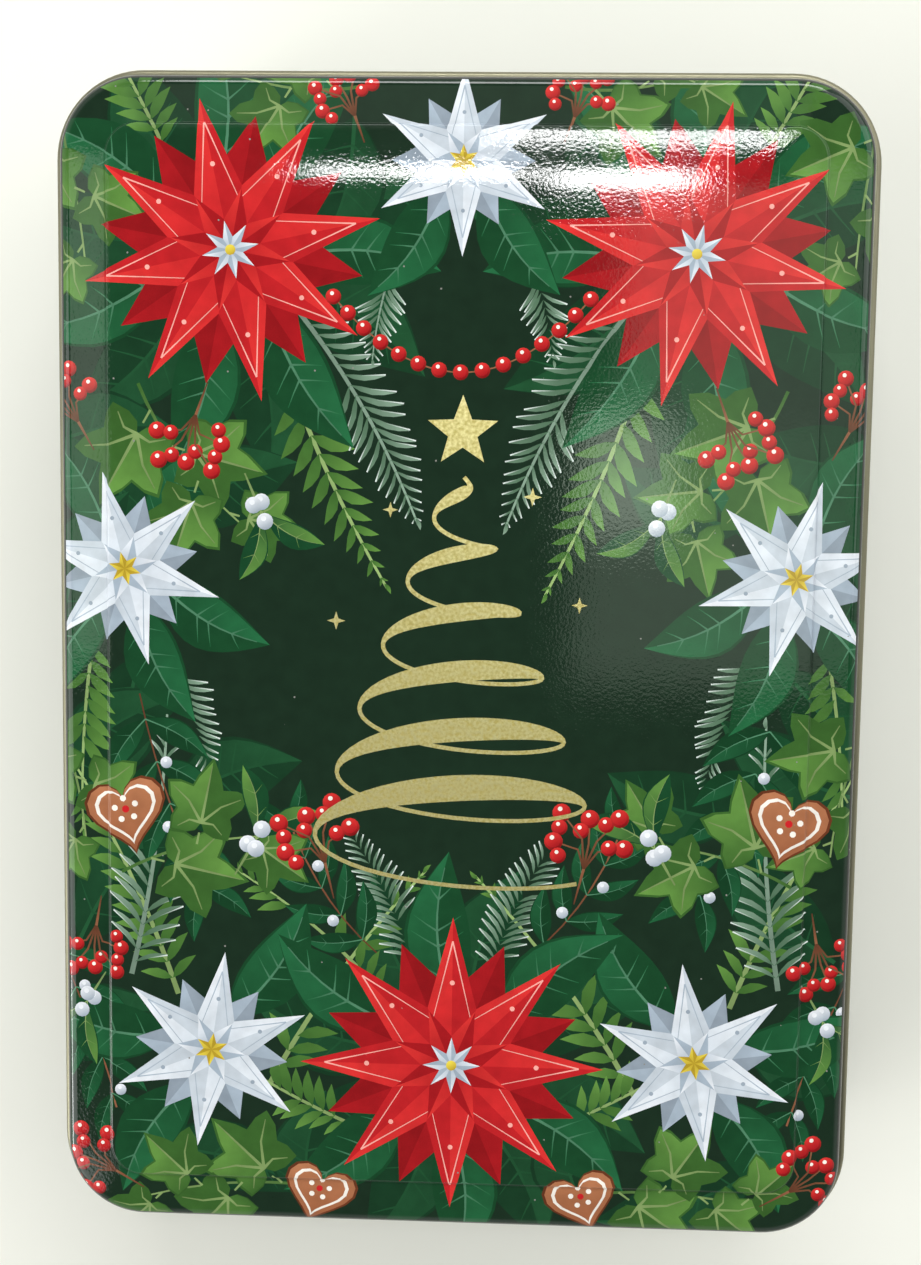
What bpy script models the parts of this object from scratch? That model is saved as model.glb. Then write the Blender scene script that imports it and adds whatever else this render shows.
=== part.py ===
"""A rectangular Christmas cookie tin: a pressed slip-on lid, a necked body and a seamed base.

Every piece is one sheet of tinplate, swept round the same rounded rectangle. A section is a
list of (outset, height) points on the middle of the sheet. Outset 0 is the outer face of the
lid's skirt, and it grows outwards. Metres, +Z up, origin under the middle of the tin.
"""

import math

import bmesh
import bpy

# Driving sizes of the whole tin
LID_WIDTH = 0.165
LID_LENGTH = 0.240
CORNER_RADIUS = 0.0164
TIN_HEIGHT = 0.062
SHEET = 0.00028

# Running room and the room that the folds of the seam keep
LID_CLEARANCE = 0.0004
SEAT_GAP = 0.00033
SEAM_GAP = 0.0003

# Lid
CREASE_INSET = 0.0102
ROLL_WIDTH = 0.013
ROLL_DROP = 0.0006
STEP_WIDTH = 0.0006
STEP_DROP = 0.00035
MARGIN_SLOPE = 4.0
EDGE_RADIUS = 0.0022
SKIRT_DEPTH = 0.007
HEM_RADIUS = 0.00096
PANEL_CORNER = 0.005

# Body
RIM_RADIUS = 0.00086
SHOULDER_HEIGHT = 0.0026
HEM_GAP = 0.0006
SEAM_LAP_WIDTH = 0.005
SEAM_LAP_ROOM = 0.0015
SEAM_LINE_DEPTH = 0.00012
SEAM_LINE_WIDTH = 0.0004

# Base
SEAM_HEIGHT = 0.0034
BASE_RECESS = 0.0042
CHUCK_RADIUS = 0.0009
BEAD_INSET = 0.014
BEAD_WIDTH = 0.004
BEAD_RISE = 0.0008

# Fineness of the curves
CORNER_STEPS = 8
ROLL_STEPS = 4
EDGE_STEPS = 5
HEM_STEPS = 10
HEM_TURN = 295
SHOULDER_STEPS = 5
TURN_STEPS = 7
BEAD_STEPS = 4

# Colours: print green, and the warm lacquer of bare tinplate
PRINT_GREEN = (0.011, 0.033, 0.017, 1.0)
WARM_TINPLATE = (0.50, 0.43, 0.26, 1.0)

# Places that several pieces share. The flat under the seam, which the tin stands on, is at height 0
HALF_SHEET = SHEET / 2
SKIRT = -HALF_SHEET
WALL = -HALF_SHEET
LAYER = SHEET + SEAM_GAP
NECK = -SHEET - LID_CLEARANCE - HALF_SHEET - 2 * RIM_RADIUS
EDGE_CENTRE = SKIRT - EDGE_RADIUS
EDGE_START = 90.0 - MARGIN_SLOPE
SEAM_FOOT = 2 * LAYER * math.cos(math.pi / 2 / TURN_STEPS) + HALF_SHEET
SEAM_HEAD = SEAM_HEIGHT - LAYER - HALF_SHEET


def start_clean():
    """Removes what the scene holds."""
    for thing in list(bpy.data.objects):
        bpy.data.objects.remove(thing, do_unlink=True)


def collection(name):
    """A new collection in the scene."""
    made = bpy.data.collections.new(name)
    bpy.context.scene.collection.children.link(made)
    return made


def material(name, colour, metallic, roughness):
    """A Principled material."""
    made = bpy.data.materials.new(name)
    made.use_nodes = True
    shader = made.node_tree.nodes["Principled BSDF"]
    shader.inputs["Base Color"].default_value = colour
    shader.inputs["Metallic"].default_value = metallic
    shader.inputs["Roughness"].default_value = roughness
    made.diffuse_color = colour
    return made


def arc(centre, radius, start, end, steps):
    """Points of an arc in the section, from one angle in degrees to another."""
    points = []
    for i in range(steps + 1):
        angle = math.radians(start + (end - start) * i / steps)
        points.append((centre[0] + radius * math.cos(angle), centre[1] + radius * math.sin(angle)))
    return points


def outline(outset, height):
    """The rounded rectangle at that outset, anticlockwise from above."""
    radius = max(CORNER_RADIUS + outset, PANEL_CORNER)
    reach_x = LID_WIDTH / 2 + outset - radius
    reach_y = LID_LENGTH / 2 + outset - radius
    ring = []
    for side_x, side_y, first in ((1, 1, 0), (-1, 1, 90), (-1, -1, 180), (1, -1, 270)):
        for i in range(CORNER_STEPS + 1):
            angle = math.radians(first + 90 * i / CORNER_STEPS)
            x = side_x * reach_x + radius * math.cos(angle)
            y = side_y * reach_y + radius * math.sin(angle)
            ring.append((x, y, height))
    return ring


def pressed_sheet(name, section, capped, finish, home):
    """Sweeps a section round the outline, closes its first ring if capped, and gives it the sheet's gauge."""
    shape = bmesh.new()
    rings = []
    for outset, height in section:
        rings.append([shape.verts.new(point) for point in outline(outset, height)])
    for inner, outer in zip(rings, rings[1:]):
        for i in range(len(inner)):
            j = (i + 1) % len(inner)
            shape.faces.new((inner[i], outer[i], outer[j], inner[j]))
    if capped:
        shape.faces.new(rings[0])
    mesh = bpy.data.meshes.new(name)
    shape.to_mesh(mesh)
    shape.free()
    mesh.shade_smooth()
    mesh.set_sharp_from_angle(angle=math.radians(40))
    piece = bpy.data.objects.new(name, mesh)
    home.objects.link(piece)
    gauge = piece.modifiers.new("gauge", "SOLIDIFY")
    gauge.thickness = SHEET
    gauge.offset = 0
    gauge.use_even_offset = True
    mesh.materials.append(finish)
    return piece


def lid_section():
    """From the flat panel over its crowned border, the crease, the sloping margin and the edge to the rolled hem."""
    top = TIN_HEIGHT - HALF_SHEET
    section = []
    for i in range(ROLL_STEPS + 1):
        along = i / ROLL_STEPS
        inset = CREASE_INSET + ROLL_WIDTH * (1 - along)
        section.append((-inset, top - ROLL_DROP * (1 - math.cos(along * math.pi / 2))))
    section.append((-CREASE_INSET + STEP_WIDTH, top - ROLL_DROP - STEP_DROP))
    section += arc((EDGE_CENTRE, lid_edge_height()), EDGE_RADIUS, EDGE_START, 0, EDGE_STEPS)
    section += arc((SKIRT + HEM_RADIUS, hem_height()), HEM_RADIUS, 180, 180 + HEM_TURN, HEM_STEPS)
    return section


def lid_edge_height():
    """Height of the centre of the lid's rounded edge, below the crease and the slope of the margin."""
    slope = math.radians(MARGIN_SLOPE)
    foot_of_step = TIN_HEIGHT - HALF_SHEET - ROLL_DROP - STEP_DROP
    arc_start = EDGE_CENTRE + EDGE_RADIUS * math.sin(slope)
    run = arc_start + CREASE_INSET - STEP_WIDTH
    return foot_of_step - run * math.tan(slope) - EDGE_RADIUS * math.cos(slope)


def hem_height():
    """Height of the middle of the lid's rolled hem."""
    return lid_edge_height() + EDGE_RADIUS - SKIRT_DEPTH


def rim_height():
    """Height of the middle of the body's rolled rim, which seats the lid from inside its rounded edge."""
    reach = EDGE_RADIUS - HALF_SHEET - SEAT_GAP - RIM_RADIUS - HALF_SHEET
    aside = NECK + RIM_RADIUS - EDGE_CENTRE
    return lid_edge_height() + math.sqrt(reach**2 - aside**2)


def shoulder_height():
    """Height at which the body's wall starts to neck in, just under the lid's hem."""
    return hem_height() - HEM_RADIUS - HALF_SHEET - HEM_GAP


def body_section():
    """From the hook in the bottom seam, up the wall and the neck, to the rim rolled outwards."""
    hook = WALL + 2 * LAYER
    section = [(hook, SEAM_HEAD)]
    section += arc((WALL + LAYER, SEAM_FOOT), LAYER, 0, -180, TURN_STEPS)
    for i in range(SHOULDER_STEPS + 1):
        along = i / SHOULDER_STEPS
        inward = (1 - math.cos(math.pi * along)) / 2
        section.append((WALL + (NECK - WALL) * inward, shoulder_height() + SHOULDER_HEIGHT * along))
    section += arc((NECK + RIM_RADIUS, rim_height()), RIM_RADIUS, 180, 180 - HEM_TURN, HEM_STEPS)
    return section


def base_section():
    """From the recessed floor over its bead, down the chuck wall and round the wall's hook."""
    chuck = WALL - LAYER
    section = []
    for i in range(BEAD_STEPS + 1):
        along = i / BEAD_STEPS
        inset = BEAD_INSET + BEAD_WIDTH * (1 - along)
        section.append((-inset, BASE_RECESS + BEAD_RISE * math.sin(along * math.pi)))
    section += arc((chuck - CHUCK_RADIUS, BASE_RECESS - CHUCK_RADIUS), CHUCK_RADIUS, 90, 0, EDGE_STEPS)
    section += arc((WALL + LAYER, SEAM_FOOT), 2 * LAYER, 180, 360, TURN_STEPS)
    section += arc((WALL + 2 * LAYER, SEAM_HEAD), LAYER, 0, 180, TURN_STEPS)
    section.append((WALL + LAYER, SEAM_FOOT))
    return section


def block(name, low, high, home):
    """A box between two corners, kept as a helper for a Boolean."""
    shape = bmesh.new()
    bmesh.ops.create_cube(shape, size=1.0)
    for vertex in shape.verts:
        for axis in range(3):
            middle = (low[axis] + high[axis]) / 2
            vertex.co[axis] = middle + vertex.co[axis] * (high[axis] - low[axis])
    mesh = bpy.data.meshes.new(name)
    shape.to_mesh(mesh)
    shape.free()
    helper = bpy.data.objects.new(name, mesh)
    home.objects.link(helper)
    helper.hide_render = True
    helper.display_type = "WIRE"
    return helper


def combine(piece, helper, operation):
    """A Boolean of the piece with a helper."""
    change = piece.modifiers.new(helper.name, "BOOLEAN")
    change.operation = operation
    change.object = helper
    change.solver = "EXACT"


def side_seam(wall, home):
    """The lock seam down the back: two more layers of sheet inside, and the line of the fold outside."""
    face = LID_LENGTH / 2
    foot = BASE_RECESS + SEAM_LAP_ROOM
    head = shoulder_height() - SEAM_LAP_ROOM
    lap_side = SEAM_LAP_WIDTH / 2
    lap = block(
        "side_seam_lap",
        (-lap_side, face - 3 * SHEET, foot),
        (lap_side, face - HALF_SHEET, head),
        home,
    )
    combine(wall, lap, "UNION")
    line = block(
        "side_seam_line",
        (lap_side, face - SEAM_LINE_DEPTH, foot),
        (lap_side + SEAM_LINE_WIDTH, face + SHEET, head),
        home,
    )
    combine(wall, line, "DIFFERENCE")


def build():
    """Makes the three pieces of the tin."""
    start_clean()
    tin = collection("christmas_cookie_tin")
    helpers = collection("helpers")
    lid_print = material("lid_print", PRINT_GREEN, 0.0, 0.28)
    wall_print = material("wall_print", PRINT_GREEN, 0.0, 0.28)
    tinplate = material("tinplate", WARM_TINPLATE, 1.0, 0.35)
    pressed_sheet("lid", lid_section(), True, lid_print, tin)
    wall = pressed_sheet("body_wall", body_section(), False, wall_print, tin)
    side_seam(wall, helpers)
    pressed_sheet("base_plate", base_section(), True, tinplate, tin)


build()
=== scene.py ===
# %% [markdown]
# # A printed Christmas cookie tin
#
# The tin has three pieces of thin steel sheet: a slip-on lid with a printed picture, a lacquered
# wall, and a base that is folded on to the wall. The CAD model holds their form in few faces. This
# script makes the same three sheets again with fine curves, prints the lid, and gives each side of
# the sheet its own finish. The frame is loaded first, and its size is kept.

import cmath
import math
from collections import namedtuple

import bpy
import numpy as np
from mathutils import Euler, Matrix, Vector
from mathutils.geometry import delaunay_2d_cdt


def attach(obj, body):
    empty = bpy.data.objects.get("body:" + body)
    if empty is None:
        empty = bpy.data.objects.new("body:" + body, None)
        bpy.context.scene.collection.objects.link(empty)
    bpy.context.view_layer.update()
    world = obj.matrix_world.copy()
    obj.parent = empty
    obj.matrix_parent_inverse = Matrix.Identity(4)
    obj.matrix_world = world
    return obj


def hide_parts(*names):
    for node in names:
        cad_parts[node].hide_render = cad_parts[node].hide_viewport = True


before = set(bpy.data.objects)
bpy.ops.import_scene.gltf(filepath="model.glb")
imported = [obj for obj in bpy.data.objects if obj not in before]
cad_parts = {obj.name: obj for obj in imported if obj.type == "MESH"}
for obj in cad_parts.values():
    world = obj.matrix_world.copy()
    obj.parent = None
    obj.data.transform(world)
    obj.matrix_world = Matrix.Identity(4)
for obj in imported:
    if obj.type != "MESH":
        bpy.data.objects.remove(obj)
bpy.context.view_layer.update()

# %% [markdown]
# ## Camera
#
# The camera could be turned by eye until the tin looks right. Here its place was worked out
# from the four rounded corners of the photographed outline, which fixes distance, tilt and
# focal length together. A short distance matters: it is what shows the rolled hem along the
# top and the right, and hides nearly all of it along the left and the bottom.

# %% The camera
LENS = 51.4
SENSOR = 36.0
CAMERA_PLACE = (0.01678, 0.04798, 0.43098)
CAMERA_TURN = (-6.142, 2.582, 0.797)

scene = bpy.context.scene
scene.view_settings.view_transform = "Standard"
camera = bpy.data.objects.new("camera", bpy.data.cameras.new("camera"))
camera.data.lens = LENS
camera.data.sensor_width = SENSOR
camera.location = CAMERA_PLACE
camera.rotation_euler = Euler([math.radians(angle) for angle in CAMERA_TURN])
scene.collection.objects.link(camera)
scene.camera = camera
print("camera at", CAMERA_PLACE)

# %% [markdown]
# ## Sizes
#
# These are the sizes of the CAD source, in metres. Every sheet is swept round one rounded
# rectangle. A place on it is an outset, the distance out from the face of the lid's skirt,
# and a height. All folds turn round centres that these values give.

# %% Sizes of the tin
LID_WIDTH = 0.165
LID_LENGTH = 0.240
CORNER_RADIUS = 0.0164
PANEL_CORNER = 0.005
TIN_HEIGHT = 0.062
SHEET = 0.00028
HALF_SHEET = SHEET / 2
LAYER = SHEET + 0.0003
LID_CLEARANCE = 0.0004
SEAT_GAP = 0.00033

CREASE_INSET = 0.0102
ROLL_WIDTH = 0.013
ROLL_DROP = 0.0006
STEP_WIDTH = 0.0006
STEP_DROP = 0.00035
MARGIN_SLOPE = math.radians(4.0)
EDGE_RADIUS = 0.0022
SKIRT_DEPTH = 0.007
HEM_RADIUS = 0.00096
HEM_TURN = 295

RIM_RADIUS = 0.00086
SHOULDER_HEIGHT = 0.0026
HEM_GAP = 0.0006
SEAM_HEIGHT = 0.0034
BASE_RECESS = 0.0042
CHUCK_RADIUS = 0.0009
BEAD_INSET = 0.014
BEAD_WIDTH = 0.004
BEAD_RISE = 0.0008

FACE = -HALF_SHEET
NECK = -SHEET - LID_CLEARANCE - HALF_SHEET - 2 * RIM_RADIUS
EDGE_CENTRE = FACE - EDGE_RADIUS
print("neck is", round(-1000 * NECK, 2), "mm inside the skirt's face")

# %% [markdown]
# ## The outline
#
# A rounded rectangle can be moved out by any distance: its straight sides move, and its
# corner radius grows. Deep inside the lid the radius would shrink to nothing, so it stops at
# the panel's corner radius. Two helpers say this in both directions: one gives the ring at an
# outset, the other finds the outset of any point. A point in plan is one complex number,
# x + iy, because turning and scaling is then a single multiplication.

# %% Rings and outsets
CORNER_STEPS = 18


def ring(outset, steps=CORNER_STEPS):
    """The rounded rectangle at an outset, anticlockwise."""
    radius = max(CORNER_RADIUS + outset, PANEL_CORNER)
    reach = complex(LID_WIDTH / 2 + outset - radius, LID_LENGTH / 2 + outset - radius)
    points = []
    for side_x, side_y, first in ((1, 1, 0), (-1, 1, 90), (-1, -1, 180), (1, -1, 270)):
        centre = complex(side_x * reach.real, side_y * reach.imag)
        for i in range(steps + 1):
            points.append(centre + cmath.rect(radius, math.radians(first + 90 * i / steps)))
    return np.array(points)


def outset_of(points):
    """Outset of each point, and the direction in which its ring faces."""
    x, y = np.abs(points.real), np.abs(points.imag)
    a = x - (LID_WIDTH / 2 - CORNER_RADIUS)
    b = y - (LID_LENGTH / 2 - CORNER_RADIUS)
    corner = (a > 0) & (b > 0)
    outset = np.where(corner, np.hypot(a, b), np.maximum(a, b)) - CORNER_RADIUS
    facing = np.where(corner, a + 1j * b, np.where(a > b, 1, 1j))
    a = x - (LID_WIDTH / 2 - PANEL_CORNER)
    b = y - (LID_LENGTH / 2 - PANEL_CORNER)
    corner = np.abs(a - b) < PANEL_CORNER
    root = np.sqrt(np.maximum(2 * PANEL_CORNER**2 - (a - b) ** 2, 0))
    inner = np.where(corner, (a + b - root) / 2, np.maximum(a, b) - PANEL_CORNER)
    inner_facing = np.where(corner, (a - inner) + 1j * (b - inner), np.where(a > b, 1, 1j))
    deep = outset < PANEL_CORNER - CORNER_RADIUS
    outset = np.where(deep, inner, outset)
    facing = np.where(deep, inner_facing, facing)
    facing = np.sign(points.real) * facing.real + 1j * np.sign(points.imag) * facing.imag
    return outset, facing / np.maximum(np.abs(facing), 1e-12)


print("a ring has", len(ring(0.0)), "points")

# %% [markdown]
# ## Sections
#
# A section is the path of the middle of the sheet. It could be drawn by hand as a curve, but
# a fold made of true arcs reflects light as rolled metal does, so each fold is an arc with a
# known centre. Points set close to both ends of every arc keep the flats next to it flat. The
# border inside the crease is a little flatter than in the CAD source, and the step at the
# crease deeper by the rest, because that is how the reflections bend in the photograph.

# %% Arcs and the two faces of a sheet
EASE = 0.00012


def arc(centre, radius, start, end, steps):
    """Points of an arc from one angle in degrees to another."""
    angles = np.radians(np.linspace(start, end, steps + 1))
    return [(centre[0] + radius * math.cos(a), centre[1] + radius * math.sin(a)) for a in angles]


def faces_of(section):
    """The two faces of the sheet, half a gauge to each side, and the way its first side faces."""
    path = np.array(section)
    along = np.gradient(path, axis=0)
    along /= np.linalg.norm(along, axis=1)[:, None]
    facing = np.stack([-along[:, 1], along[:, 0]], axis=1)
    return path + HALF_SHEET * facing, path - HALF_SHEET * facing, facing


# %% Section of the lid
ROLL_STEPS = 12
CREASE_STEPS = 8
EDGE_STEPS = 16
HEM_STEPS = 30
CROWN_SHARE = 0.62


def edge_height():
    """Height of the centre of the lid's rounded edge."""
    foot_of_step = TIN_HEIGHT - HALF_SHEET - ROLL_DROP - STEP_DROP
    run = EDGE_CENTRE + EDGE_RADIUS * math.sin(MARGIN_SLOPE) + CREASE_INSET - STEP_WIDTH
    return foot_of_step - run * math.tan(MARGIN_SLOPE) - EDGE_RADIUS * math.cos(MARGIN_SLOPE)


def hem_height():
    """Height of the middle of the lid's rolled hem."""
    return edge_height() + EDGE_RADIUS - SKIRT_DEPTH


def lid_section():
    """The crowned border, the soft crease, the margin, the edge, the skirt and the rolled hem."""
    top = TIN_HEIGHT - HALF_SHEET
    crown = CROWN_SHARE * ROLL_DROP
    section = []
    for along in np.linspace(0, 1, ROLL_STEPS + 1):
        inset = CREASE_INSET + ROLL_WIDTH * (1 - along)
        section.append((-inset, top - crown * (1 - math.cos(along * math.pi / 2))))
    slope = math.tan(MARGIN_SLOPE)
    extra = STEP_DROP + ROLL_DROP - crown - slope * STEP_WIDTH
    for along in np.linspace(0, 1, CREASE_STEPS + 1)[1:]:
        fall = slope * STEP_WIDTH * along + extra * (1 - math.cos(math.pi * along)) / 2
        section.append((-CREASE_INSET + STEP_WIDTH * along, top - crown - fall))
    edge_start = 90 - math.degrees(MARGIN_SLOPE)
    edge = arc((EDGE_CENTRE, edge_height()), EDGE_RADIUS, edge_start, 0, EDGE_STEPS)
    foot = section[-1]
    for place in (EASE, edge[0][0] - foot[0] - EASE):
        section.append((foot[0] + place, foot[1] - slope * place))
    section += edge
    section += [(FACE, edge_height() - EASE), (FACE, hem_height() + EASE)]
    return section + arc(
        (FACE + HEM_RADIUS, hem_height()), HEM_RADIUS, 180, 180 + HEM_TURN, HEM_STEPS
    )


print("the lid's section has", len(lid_section()), "points")

# %% [markdown]
# ## Inks
#
# Tin is printed flat, before it is pressed, with solid inks under a clear varnish. The print
# could be an image, but then it would blur close up. Here each motif is a set of flat shapes
# with sharp edges. A shape has one ink, or two that blend along a line, and a later shape
# covers an earlier one. Shapes are drawn in millimetres on the flat sheet.

# %% The list of printed shapes
def ink(code):
    """Linear red, green and blue of an ink that is named by its screen colour."""
    parts = [int(code[i : i + 2], 16) / 255 for i in (1, 3, 5)]
    return np.array([p / 12.92 if p < 0.04045 else ((p + 0.055) / 1.055) ** 2.4 for p in parts])


# EDGE_SHADE_LINE is painted shade: a near-black ink for the shadowed line where the skirt turns
# down to the hem, not an ink of the picture.
GROUND, EDGE_SHADE_LINE = ink("#182c1e"), ink("#0a0f0b")
FOREST, FOREST_LIT = ink("#163a23"), ink("#1f4e2f")
LAUREL, LAUREL_LIT, LAUREL_VEIN = ink("#174628"), ink("#24663f"), ink("#5b9572")
FERN, FERN_LIT, FERN_VEIN = ink("#39612a"), ink("#618d41"), ink("#95b26f")
FROST, FROST_LIT, FROST_TIP = ink("#48674e"), ink("#87a18d"), ink("#d8e2dd")
RED_DEEP, RED, RED_LIT, RED_LINE = ink("#a3181e"), ink("#c42328"), ink("#d63431"), ink("#f0a79c")
SNOW_DEEP, SNOW, SNOW_LIT = ink("#a4b2c0"), ink("#c9d2db"), ink("#e5e8ed")
YOLK, YOLK_DEEP = ink("#e6d24e"), ink("#b79a2c")
TWIG, TWIG_LIT = ink("#5b3524"), ink("#8a5a40")
CRUST, CRUST_LIT, CRUST_DEEP = ink("#925739"), ink("#b47753"), ink("#60321d")
ICING = ink("#f3ece2")

Shape = namedtuple("Shape", "outline first last start end foil")
shapes = []


def lay(points, first, last=None, start=0j, end=1 + 0j, foil=False):
    """Prints one closed shape over what is there."""
    last = first if last is None else last
    shapes.append(Shape(np.asarray(points), first, last, start, end, foil))


print("the first inks are mixed")

# %% [markdown]
# ## Brush strokes and leaves
#
# A leaf painted with a brush has a dark half, a light half, a pale midrib and a few ribs. One
# function draws its outline along +x, and a turn and a place put it on the sheet. A stroke is
# a ribbon of varying width along a path, for stems, ribs and lines. A stem bends like a
# parabola, so one formula gives the places of its leaves, and another the way it runs there.

# %% Strokes, dots and leaf blades
random = np.random.default_rng(24)


def turned(angle, size=1.0):
    """The complex number that turns by an angle in degrees and scales."""
    return cmath.rect(size, math.radians(angle))


def on_stem(at, angle, length, bend, part):
    """The place at a part of a bent stem's length."""
    return at + turned(angle) * length * (part + 1j * bend * part**2)


def stem_way(angle, bend, part):
    """The angle in which a bent stem runs at a part of its length."""
    return angle + math.degrees(math.atan(2 * bend * part))


def stroke(path, start_width, end_width, first, last=None):
    """A tapered ribbon along a path."""
    path = np.asarray(path)
    along = np.gradient(path)
    side = 1j * along / np.abs(along)
    half = np.linspace(start_width, end_width, len(path)) / 2
    outline = np.concatenate([path - side * half, (path + side * half)[::-1]])
    lay(outline, first, last, path[0], path[-1])


def dot(at, radius, first, last=None, points=12, tilt=115.0, foil=False):
    """A round spot, blended across by its tilt."""
    rim = at + radius * np.exp(2j * np.pi * (np.arange(points) + 0.5) / points)
    way = turned(tilt, radius)
    lay(rim, first, last, at - way, at + way, foil)


def blade(length, width, bend=0.1, blunt=0.85, steps=9):
    """Spine and half widths of a leaf along +x."""
    t = np.linspace(0, 1, steps)
    spine = length * (t + 1j * bend * np.sin(np.pi * t * 0.9))
    half = width / 2 * np.sin(np.pi * t**blunt)
    return spine, half


def simple_leaf(at, angle, length, width, first, last, bend=0.1, steps=5):
    """A leaf in one piece."""
    spine, half = blade(length, width, bend, steps=steps)
    outline = np.concatenate([spine - 1j * half, (spine + 1j * half)[-2:0:-1]])
    turn = turned(angle)
    lay(at + turn * outline, first, last, at, at + turn * length)


def leaf(at, angle, length, width, dark, light, vein, bend=0.1, ribs=4, blunt=0.85):
    """A painted leaf: both halves, midrib and ribs."""
    spine, half = blade(length, width, bend, blunt, 11)
    turn = turned(angle)
    spine = at + turn * spine
    across = 1j * turn * half
    tip = at + turn * length
    upper = spine + across
    lower = spine - across
    lay(np.concatenate([lower, upper[-2:0:-1]]), dark * 0.8, dark, at, tip)
    inner = spine + across * 0.9
    lay(np.concatenate([spine, inner[-2:0:-1]]), dark, light, at, tip)
    stroke(spine[:-1], 0.055 * width, 0.015 * width, vein * 0.75, vein * 0.55)
    for k in range(1, ribs + 1):
        i = 1 + round(7.0 * k / (ribs + 1))
        for side in (1, -1):
            reach = spine[i + 1] + side * across[i + 1] * 0.8
            middle = (spine[i] * 0.55 + reach * 0.45) + 0.02 * side * across[i]
            stroke([spine[i], middle, reach], 0.03 * width, 0.006 * width, vein * 0.6, light)


print("a leaf takes", 3 + 2 * 4, "shapes")

# %% [markdown]
# ## Ferns, ivy and mistletoe
#
# The greenery is built from the leaf. A fern is a bent stem with pairs of small leaflets that
# shrink towards its tip; with pale tips it is a frosted one. An ivy leaf is a closed outline
# through lobes and notches. Mistletoe is a forked stem with two blunt leaves and white
# berries. A few numbers that are drawn at random keep the fronds from looking stamped. Each
# frond notes which shapes are its own, so that it can be taken off whole where it is covered.

# %% Fern fronds
fronds = []


def fern(at, angle, length, width, dark, light, vein, bend=0.12, pairs=15, frost=None, slim=0.3):
    """A frond with pairs of leaflets, and with pale tips if it is frosted."""
    before = len(shapes)
    stem = on_stem(at, angle, length, bend, np.linspace(0, 1, 10))
    stroke(stem, 0.02 * length, 0.008 * length, vein * 0.6, vein)
    for k in range(1, pairs + 1):
        part = k / (pairs + 0.6)
        place = on_stem(at, angle, length, bend, part)
        lean = stem_way(angle, bend, part)
        size = width / 2 * (math.sin(math.pi * (0.16 + 0.84 * part) ** 0.9) ** 0.8 + 0.06)
        for side in (1, -1):
            swing = side * (62 - 26 * part + random.uniform(-5, 5))
            reach = size * random.uniform(0.9, 1.08)
            lit = light if side > 0 else dark + 0.35 * (light - dark)
            simple_leaf(place, lean + swing, reach, reach * slim, dark, lit, -0.08 * side)
            if frost is not None:
                tip = place + turned(lean + swing, reach)
                root = place + turned(lean + swing - 3 * side, reach * 0.45)
                stroke([root, (root + tip) / 2, tip], 0.12, 0.3, lit, frost)
    end = on_stem(at, angle, length, bend, 1)
    last_way = stem_way(angle, bend, 1)
    simple_leaf(end - turned(last_way, 1.0), last_way, width * 0.14, width * 0.05, dark, light)
    fronds.append((before, len(shapes), 1 if frost is None else 2))


def frosted_fern(at, angle, length, width, bend=0.12, pairs=20):
    """A thin grey fern with frost on its tips."""
    fern(at, angle, length, width, FROST, FROST_LIT, FROST_LIT, bend, pairs, FROST_TIP, 0.13)


# %% Ivy and mistletoe
IVY = (
    (0, 1.0), (16, 0.7), (27, 0.56), (42, 0.72), (54, 0.84), (68, 0.66),
    (82, 0.46), (100, 0.52), (122, 0.58), (142, 0.4), (163, 0.26), (176, 0.12),
)


def ivy(at, angle, size, dark, light, vein):
    """An ivy leaf with five lobes, whose stalk is at its place."""
    turn = turned(angle, size)
    half = [turned(degrees, reach) for degrees, reach in IVY]
    under = [point.conjugate() for point in half[1:]]
    centre = at + turn * 0.35
    outline = at + turn * (0.35 + np.array(under[::-1] + half))
    lay(outline, dark * 0.85, dark, at, at + turn)
    lit = centre + (at + turn * (0.35 + np.array(half)) - centre) * 0.93
    lay(np.concatenate([[centre - turn * 0.06], lit]), dark, light, at, at + turn)
    for degrees, reach in ((0, 0.86), (54, 0.7), (-54, 0.7), (122, 0.44), (-122, 0.44)):
        tip = centre + turn * turned(degrees, reach)
        bow = centre + turn * turned(degrees * 0.94, reach * 0.5)
        stroke([centre - turn * 0.1, bow, tip], 0.05 * size, 0.012 * size, vein * 0.7, vein * 0.5)


def ivy_trail(at, angle, length, size, bend=0.2, leaves=4):
    """A bent stem with ivy leaves on both sides."""
    stem = on_stem(at, angle, length, bend, np.linspace(0, 1, 9))
    stroke(stem, 0.7, 0.35, FERN, FERN_VEIN * 0.7)
    for k in range(leaves):
        part = (k + 0.7) / leaves
        place = on_stem(at, angle, length, bend, part)
        side = 1 if k % 2 else -1
        way = angle + side * random.uniform(38, 58) + 60 * bend * part
        near = size * (1.05 - 0.35 * part)
        stroke([place, place + turned(way, near * 0.2)], 0.5, 0.4, FERN_VEIN * 0.7)
        ivy(place + turned(way, near * 0.12), way, near, FERN, FERN_LIT, FERN_VEIN)


def white_berry(at, radius):
    """A pale berry with a soft shade and a small light."""
    dot(at, radius, SNOW_DEEP * 0.8, SNOW_LIT, 14)
    dot(at + turned(115, radius * 0.38), radius * 0.34, SNOW_LIT, points=8)


def mistletoe(at, angle, size):
    """A forked sprig: two blunt leaves and three white berries."""
    fork = at + turned(angle, size * 0.55)
    stroke([at, fork], 0.02 * size, 0.05 * size, FERN_VEIN * 0.55, FERN_VEIN * 0.7)
    inks = (LAUREL, FERN_LIT, FERN_VEIN)
    for side in (1, -1):
        leaf(fork, angle + 42 * side, size, size * 0.34, *inks, -0.12 * side, 2, 1.25)
    for way, reach in ((150, 0.12), (-150, 0.12), (0, 0.16)):
        white_berry(fork + turned(angle + way, size * reach), size * 0.115)


print("ferns, ivy and mistletoe are ready")

# %% [markdown]
# ## Stars, beads and biscuits
#
# The large motifs are folded-paper stars. Each point is a kite with a light and a dark
# facet, which is enough to read as folded. A second, darker star turned by half a point sits
# behind the first. Red wooden beads hang on threads, and iced biscuits give the brown.

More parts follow.
